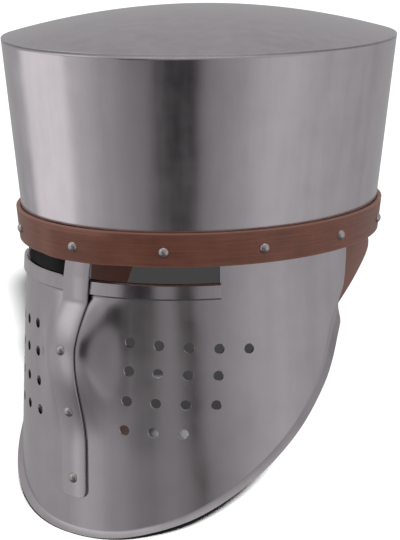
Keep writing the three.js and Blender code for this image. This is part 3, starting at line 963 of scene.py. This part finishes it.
def band_piece():
    bm = bmesh.new()
    outer = [Vector((BAND_THICKNESS, 0, BAND_HEIGHT * i / BAND_ROWS)) for i in range(BAND_ROWS + 1)]
    inner = [Vector((0, 0, BAND_HEIGHT)), Vector((0, 0, 0))]
    radius = Vector((CROWN_SIDE[0], 0, 0))
    line = [bm.verts.new(co + radius) for co in outer + inner]
    edges = [bm.edges.new(pair) for pair in zip(line, line[1:] + line[:1])]
    bmesh.ops.spin(
        bm, geom=line + edges, cent=(0, 0, 0), axis=(0, 0, 1), angle=math.tau,
        steps=BAND_STEPS, use_merge=True, use_duplicate=False,
    )
    bmesh.ops.remove_doubles(bm, verts=bm.verts, dist=1e-6)
    bmesh.ops.recalc_face_normals(bm, faces=bm.faces)
    sharp = [e for e in bm.edges if e.calc_face_angle() > EDGE_ANGLE]
    bmesh.ops.bevel(
        bm, geom=sharp, offset=0.6 * MM, segments=3, profile=0.5, affect="EDGES",
        material=-1, clamp_overlap=True,
    )

    def press(co):
        degrees = math.degrees(math.atan2(co.x, -co.y))
        out = math.hypot(co.x, co.y) - CROWN_SIDE[0]
        lift = band_lift(degrees) * (1 - BAND_CLOSING * smooth_step(co.z, BAR_TOP + 0.4 * MM, BAND_HEIGHT))
        return crown_wall(degrees, co.z, FIT + lift + out)

    bend(bm, press)
    piece = make_piece("brow_band", bm, [BAND_LEATHER], ["leather_band"])

    def spot(co):
        return math.atan2(co.x, -co.y) * CROWN_FRONT[0], co.z

    # Marks the band's top and bottom edges for the lighter edge colour, partly a painted highlight.
    def cut(co):
        return 1 - smooth_step(min(co.z, BAND_HEIGHT - co.z), 0.2 * MM, 0.9 * MM)

    lay_map(piece, spot, cut)
    return piece


band = band_piece()

# %% [markdown]
# ## Chin strap
# The strap is one piece of leather. Its root is wide and riveted behind the crown's rim, and it
# narrows on its way down to the chin. Its two edges are curves through a few sections, and the
# leather bows a little between them.

# %% Chin strap
STRAP_THICKNESS = 2.2 * MM
STRAP_COLUMNS, STRAP_ROWS = 28, 260
STRAP_LENGTH, STRAP_WIDTH = 414 * MM, 40 * MM
STRAP_SECTIONS = (
    ((95.3, -19.6, 14), (75.5, 70.4, 14), 8.7),
    ((93.8, -19.3, -1), (74.9, 70.2, -2), 8.6),
    ((92.4, -18.5, -13), (75.8, 69.2, -14), 7.5),
    ((90, -17.5, -26), (82.3, 48, -25), 4),
    ((86.5, -17, -41), (81.5, 29.5, -41), 2),
    ((78, -19, -64), (74, 9, -66), 1),
    ((60, -36, -99), (55, -14, -104), 0.5),
    ((32, -56, -120), (29, -35, -126), 0),
    ((0, -63, -125), (0, -42, -131), 0),
)


def strap_grid(columns, rows):
    bm = bmesh.new()
    place = Matrix.Translation((0.5, 0.5, 0)) @ Matrix.Diagonal((0.5, 0.5, 1, 1))
    bmesh.ops.create_grid(bm, x_segments=columns, y_segments=rows, size=1, matrix=place)
    thicken(bm, STRAP_THICKNESS)
    return bm


def chin_piece():
    right = [(Vector(front) * MM, Vector(back) * MM, bow * MM) for front, back, bow in STRAP_SECTIONS]
    flip = Vector((-1, 1, 1))
    left = [(front * flip, back * flip, bow) for front, back, bow in reversed(right[:-1])]
    rows = right + left
    fronts, backs = [row[0] for row in rows], [row[1] for row in rows]
    bows = [Vector((i, row[2])) for i, row in enumerate(rows)]
    bm = strap_grid(STRAP_COLUMNS, STRAP_ROWS)
    layer = bm.loops.layers.uv.new("along")
    # The strap's two long edges are marked for the lighter edge colour, partly a painted highlight.
    edges = bm.verts.layers.float.new("cut_edge_and_highlight")
    for face in bm.faces:
        for loop in face.loops:
            loop.vert[edges] = float(min(loop.vert.co.x, 1 - loop.vert.co.x) < 0.01)
            loop[layer].uv = (loop.vert.co.y * STRAP_LENGTH, loop.vert.co.x * STRAP_WIDTH)
    frames = {}
    for v in bm.verts:
        t = round(v.co.y, 6)
        if t not in frames:
            start, end = curve_point(fronts, t), curve_point(backs, t)
            a, b = max(t - 0.002, 0), min(t + 0.002, 1)
            path = curve_point(fronts, b) - curve_point(fronts, a)
            path += curve_point(backs, b) - curve_point(backs, a)
            out = path.cross(end - start).normalized()
            frames[t] = (start, end, out, curve_point(bows, t).y)
        start, end, out, bow = frames[t]
        share = v.co.x
        lift = bow * 4 * share * (1 - share) + STRAP_THICKNESS / 2 + v.co.z
        v.co = start.lerp(end, share) + out * lift
    bmesh.ops.recalc_face_normals(bm, faces=bm.faces)
    break_edges(bm, 0.5 * MM)
    return make_piece("chin_leather", bm, [STRAP_LEATHER], ["chin_strap"])


strap = chin_piece()

# %% [markdown]
# ## Rivets
# Each rivet is turned on a lathe: a domed head outside, a shank through the layers, and a flat
# peened end inside. One profile is spun and stood on each seat.

# %% Rivets
RIVET_HEAD, RIVET_RISE = 3.1 * MM, 2 * MM
RIVET_SHANK, RIVET_TAIL, TAIL_HEIGHT = 1.5 * MM, 2.6 * MM, 0.9 * MM
BAR_RIVET_HEIGHTS = (-51.2 * MM, -88.8 * MM, -129.9 * MM)
STRAP_ROOT = (80, 130)
SLIT_START = 8


def rivet_piece(name, point, axis, reach):
    bm = bmesh.new()
    sphere = (RIVET_HEAD ** 2 + RIVET_RISE ** 2) / (2 * RIVET_RISE)
    profile = [
        (0, -reach - TAIL_HEIGHT), (RIVET_TAIL * 0.9, -reach - TAIL_HEIGHT), (RIVET_TAIL, -reach - 0.5 * MM),
        (RIVET_TAIL, -reach), (RIVET_SHANK, -reach), (RIVET_SHANK, 0), (RIVET_HEAD * 0.96, 0),
    ]
    steps = 9
    for i in range(steps + 1):
        radius = RIVET_HEAD * math.cos(i / steps * math.pi / 2)
        profile.append((radius, RIVET_RISE - sphere + math.sqrt(sphere ** 2 - radius ** 2) + 0.12 * MM))
    line = [bm.verts.new((radius, 0, height)) for radius, height in profile]
    edges = [bm.edges.new(pair) for pair in zip(line, line[1:])]
    bmesh.ops.spin(
        bm, geom=line + edges, cent=(0, 0, 0), axis=(0, 0, 1), angle=math.tau,
        steps=32, use_merge=True, use_duplicate=False,
    )
    bmesh.ops.remove_doubles(bm, verts=bm.verts, dist=1e-6)
    turn = axis.to_track_quat("Z", "Y").to_matrix().to_4x4()
    bmesh.ops.transform(bm, matrix=Matrix.Translation(point) @ turn, verts=bm.verts)
    return make_piece(name + "_dome", bm, [RIVET_STEEL], [name])


def band_rivet_reach(degrees):
    turn = abs(degrees)
    reach = BAND_THICKNESS + FIT + SHEET + FIT
    if STRAP_ROOT[0] < turn < STRAP_ROOT[1]:
        return reach + FIT + SHEET + 3 * FIT + STRAP_THICKNESS
    if turn < BACK_ANGLE and not SLIT_START < turn < STRIP_END:
        return reach + FIT + SHEET
    return reach


def make_rivets():
    for k, degrees in enumerate(RIVET_ANGLES):
        lift = band_lift(degrees)
        point = crown_wall(degrees, BAND_RIVET_HEIGHT, FIT + BAND_THICKNESS + lift)
        axis = crown_direction(crown_wall(degrees, BAND_RIVET_HEIGHT))
        rivet_piece(f"band_rivet_{k + 1:02d}", point, axis, band_rivet_reach(degrees) + lift)
    for k, height in enumerate(BAR_RIVET_HEIGHTS):
        x = bar_lean(height)
        point = bar_point(x, height, BAR_THICKNESS)
        axis = (point - bar_point(x, height, 0)).normalized()
        rivet_piece(f"bar_rivet_{k + 1}", point, axis, BAR_THICKNESS + SHEET + 3 * FIT)


make_rivets()

# %% [markdown]
# ## Studio
# The helmet is held up as a head would hold it, just above a plain floor. The camera stands in front
# of it and to its left side, a little above, as the photographer's did.

# %% Camera
CAMERA_TURN, CAMERA_RISE = math.radians(38.79), math.radians(12.79)
CAMERA_DISTANCE = 1155.4 * MM
CAMERA_AIM = Vector((0, 0, BAND_BOTTOM - 26.9 * MM))
FOCAL_PIXELS, CENTRE_X, FRAME_WIDTH, FRAME_HEIGHT = 1865, 201.28, 400, 540
SENSOR = 36


def place_camera():
    data = bpy.data.cameras.new("camera")
    data.sensor_width = SENSOR
    data.lens = FOCAL_PIXELS * SENSOR / FRAME_HEIGHT
    data.shift_x = (FRAME_WIDTH / 2 - CENTRE_X) / FRAME_HEIGHT
    camera = bpy.data.objects.new("camera", data)
    scene.collection.objects.link(camera)
    back = Vector((
        math.sin(CAMERA_TURN) * math.cos(CAMERA_RISE),
        -math.cos(CAMERA_TURN) * math.cos(CAMERA_RISE),
        math.sin(CAMERA_RISE),
    ))
    camera.location = CAMERA_AIM + back * CAMERA_DISTANCE
    camera.rotation_euler = back.to_track_quat("Z", "Y").to_euler()
    scene.camera = camera


place_camera()
print("camera lens:", round(scene.camera.data.lens, 1), "mm")

# %% [markdown]
# The floor's own colour is dark, and a strong low lamp from the camera's side makes it white. The
# lamp reaches the floor alone and lays the helmet's shadow behind it. The floor that shows through
# the slits and holes lies in that shadow, so the openings look dark although the helmet is empty.

# %% Floor
FLOOR_DROP = 2 * MM
FLOOR_HALF = 8
FLOOR_COLOUR = (0.1, 0.1, 0.1, 1)
KEY_TURN, KEY_RISE = math.radians(44), math.radians(26)
KEY_SOFTNESS, KEY_STRENGTH = math.radians(3), 80


def make_floor():
    bm = bmesh.new()
    bmesh.ops.create_grid(bm, x_segments=1, y_segments=1, size=FLOOR_HALF)
    bmesh.ops.translate(bm, verts=bm.verts, vec=(0, 0, cad_box[0].z - FLOOR_DROP))
    mesh = bpy.data.meshes.new("floor")
    bm.to_mesh(mesh)
    bm.free()
    floor = bpy.data.objects.new("floor", mesh)
    scene.collection.objects.link(floor)
    floor.visible_glossy = False
    floor.visible_diffuse = False
    floor.visible_shadow = False
    material = bpy.data.materials.new("studio_floor")
    material.use_nodes = True
    shader = material.node_tree.nodes["Principled BSDF"]
    shader.inputs["Base Color"].default_value = FLOOR_COLOUR
    shader.inputs["Roughness"].default_value = 0.9
    shader.inputs["Specular IOR Level"].default_value = 0
    mesh.materials.append(material)
    return floor


def light_floor(floor):
    """A soft sun that reaches the floor alone. The helmet still casts its shadow in it."""
    data = bpy.data.lights.new("floor_key", "SUN")
    data.energy = KEY_STRENGTH
    data.angle = KEY_SOFTNESS
    key = bpy.data.objects.new("floor_key", data)
    scene.collection.objects.link(key)
    toward = Vector((
        math.sin(KEY_TURN) * math.cos(KEY_RISE),
        -math.cos(KEY_TURN) * math.cos(KEY_RISE),
        math.sin(KEY_RISE),
    ))
    key.rotation_euler = toward.to_track_quat("Z", "Y").to_euler()
    lit = bpy.data.collections.new("lit_by_key")
    lit.objects.link(floor)
    key.light_linking.receiver_collection = lit


floor = make_floor()
light_floor(floor)

# %% [markdown]
# ## Light
# Polished steel shows the room, so the room is designed first. It is mid grey, brighter overhead and
# darker below, with bright patches on the left, a weaker one on the right, and darkness round the
# camera. Each patch has a soft edge and is made by a node group from its direction and size. The
# camera itself sees plain white behind the helmet.

# %% Light
PANELS = (
    # turn, rise, half width, half height, soft edge (degrees), strength
    (-62, 5, 8, 40, 42, 0.06),
    (-30, -20, 3, 4, 17, 0.18),
    (-40, 30, 10, 8, 25, 0.4),
    (118, 0, 12, 40, 45, 0.09),
    (100, -20, 4, 4, 22, 0.13),
    (38, -6, 12, 14, 34, -0.13),
    (35, -18, 7, 1, 8, -0.34),
    (45, -19, 3, 4, 8, -0.3),
    (46, -9, 2, 3, 8, -0.28),
    (12, -2, 7, 8, 8, -0.4),
)
ROOM_GREY = 0.43
FLOOR_GREY, FLOOR_RISES = 0.12, (math.radians(-48), math.radians(-22))
CEILING_GLOW, CEILING_RISES = 0.45, (math.radians(52), math.radians(76))
DARKEST = 0.03


def panel_group():
    inputs = [("Turn", "Float", 0.0), ("Rise", "Float", 0.0)]
    inputs += [("Panel Turn", "Float", 0.0), ("Panel Rise", "Float", 0.0), ("Half Width", "Float", 0.2)]
    inputs += [("Half Height", "Float", 0.2), ("Edge", "Float", 0.2), ("Strength", "Float", 1.0)]
    tree, given, result = new_group("soft_panel", inputs, ("Light",))
    sides = []
    for here, centre, half in (("Turn", "Panel Turn", "Half Width"), ("Rise", "Panel Rise", "Half Height")):
        away = math_node(tree, "SUBTRACT", given.outputs[here], given.outputs[centre])
        wrapped = add_node(tree, "ShaderNodeMath", {0: away, 1: math.pi, 2: -math.pi}, operation="WRAP")
        past = math_node(tree, "ABSOLUTE", wrapped.outputs[0])
        past = math_node(tree, "SUBTRACT", past, given.outputs[half])
        sides.append(math_node(tree, "MAXIMUM", past, 0.0))
    squares = [math_node(tree, "MULTIPLY", side, side) for side in sides]
    distance = math_node(tree, "SQRT", math_node(tree, "ADD", *squares))
    share = math_node(tree, "DIVIDE", distance, given.outputs["Edge"])
    fade = add_node(tree, "ShaderNodeMapRange", {
        "Value": share, "From Min": 1.0, "From Max": 0.0, "To Min": 0.0, "To Max": 1.0,
    }, interpolation_type="SMOOTHSTEP").outputs["Result"]
    light = math_node(tree, "MULTIPLY", fade, given.outputs["Strength"])
    tree.links.new(light, result.inputs["Light"])
    return tree


def make_world():
    world = bpy.data.worlds.new("studio")
    scene.world = world
    world.use_nodes = True
    tree = world.node_tree
    direction = add_node(tree, "ShaderNodeTexCoord").outputs["Generated"]
    parts = add_node(tree, "ShaderNodeSeparateXYZ", {"Vector": direction}).outputs
    forward = math_node(tree, "MULTIPLY", parts["Y"], -1.0)
    turn = math_node(tree, "ARCTAN2", parts["X"], forward)
    rise = math_node(tree, "ARCSINE", parts["Z"])
    group = panel_group()
    light = ranged(tree, rise, *FLOOR_RISES, FLOOR_GREY, ROOM_GREY)
    above = ranged(tree, rise, *CEILING_RISES, 0.0, CEILING_GLOW)
    light = math_node(tree, "ADD", light, above)
    for panel_turn, panel_rise, half_width, half_height, edge, strength in PANELS:
        panel = use_group(tree, group, {
            "Turn": turn, "Rise": rise, "Panel Turn": math.radians(panel_turn),
            "Panel Rise": math.radians(panel_rise), "Half Width": math.radians(half_width),
            "Half Height": math.radians(half_height), "Edge": math.radians(edge), "Strength": strength,
        })
        light = math_node(tree, "ADD", light, panel.outputs["Light"])
    light = math_node(tree, "MAXIMUM", light, DARKEST)
    seen = add_node(tree, "ShaderNodeLightPath").outputs["Is Camera Ray"]
    shown = add_node(tree, "ShaderNodeMix", {"Factor": seen, "A": light, "B": 1.0}).outputs["Result"]
    tree.links.new(shown, tree.nodes["Background"].inputs["Color"])


# %% [markdown]
# The crown and the face plate flare in different ways, and one room doesn't light both as well. Each
# has a broad soft lamp of its own, which light linking keeps off the other pieces.

# %% Lamps for one piece
def light_piece(name, piece, place, width, glow):
    """A broad soft lamp that only one piece mirrors, as a small reflector beside it would."""
    data = bpy.data.lights.new(name, "SUN")
    data.angle = math.radians(width)
    data.energy = glow * math.pi * math.sin(data.angle / 2) ** 2
    lamp = bpy.data.objects.new(name, data)
    scene.collection.objects.link(lamp)
    turn, rise = (math.radians(degrees) for degrees in place)
    toward = Vector((math.sin(turn) * math.cos(rise), -math.cos(turn) * math.cos(rise), math.sin(rise)))
    lamp.rotation_euler = toward.to_track_quat("Z", "Y").to_euler()
    lit = bpy.data.collections.new("lit_by_" + name)
    lit.objects.link(piece)
    lamp.light_linking.receiver_collection = lit


make_world()
light_piece("crown_lamp", crown, (-62, -16), 44, 0.5)
light_piece("plate_lamp", face, (35, -23), 25, 0.27)
scene.view_settings.view_transform = "Standard"
